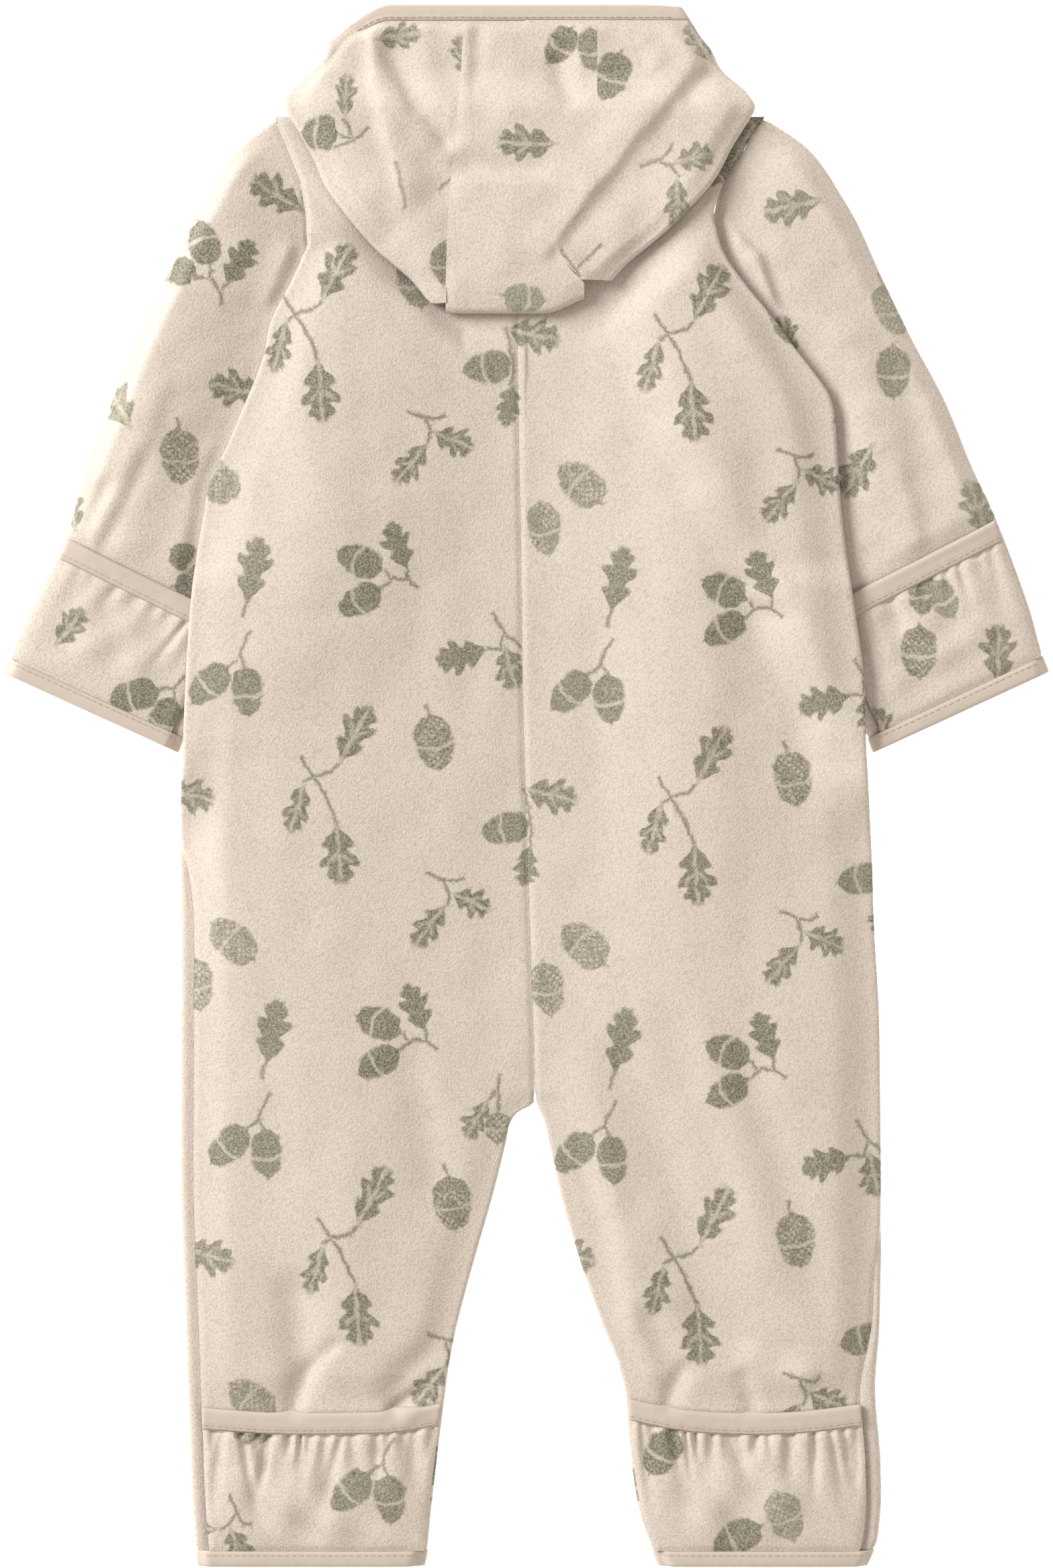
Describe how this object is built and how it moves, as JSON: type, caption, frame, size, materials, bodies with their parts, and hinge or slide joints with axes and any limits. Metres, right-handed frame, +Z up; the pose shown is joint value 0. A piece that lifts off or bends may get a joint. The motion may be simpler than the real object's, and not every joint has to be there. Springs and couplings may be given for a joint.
{
  "type": "fleece pramsuit",
  "caption": "Hooded fleece pramsuit for a baby, laid flat face down, with mitt flaps and foot flaps folded over the cuffs and leg ends.",
  "frame": {"origin": "middle of the suit's outline, on the surface it lies on", "axes": "+Z up out of the surface, +Y from the leg hems to the hood, +X to the right as the back is seen from above"},
  "size_m": [0.468, 0.697, 0.0189],
  "materials": {
    "fleece": "brushed polyester fleece printed with sage green leaves and acorns",
    "binding": "smooth jersey binding, topstitched",
    "zip_tape": "woven polyester tape",
    "zip_slider": "moulded, satin"
  },
  "bodies": {
    "root": {"back_left": "fleece", "back_right": "fleece", "front_left": "fleece", "front_right": "fleece", "sleeve_left": "fleece", "sleeve_right": "fleece", "hood_centre": "fleece", "hood_left": "fleece", "hood_right": "fleece", "mitt_flap_left": "fleece", "mitt_flap_right": "fleece", "foot_flap_left": "fleece", "foot_flap_right": "fleece", "hood_binding": "binding", "cuff_binding_left": "binding", "cuff_binding_right": "binding", "leg_hem_binding_left": "binding", "leg_hem_binding_right": "binding", "mitt_flap_binding_left": "binding", "mitt_flap_binding_right": "binding", "foot_flap_binding_left": "binding", "foot_flap_binding_right": "binding", "front_zip": "zip_tape", "zip_pull": "zip_tape", "zip_slider": "zip_slider"}
  },
  "joints": []
}
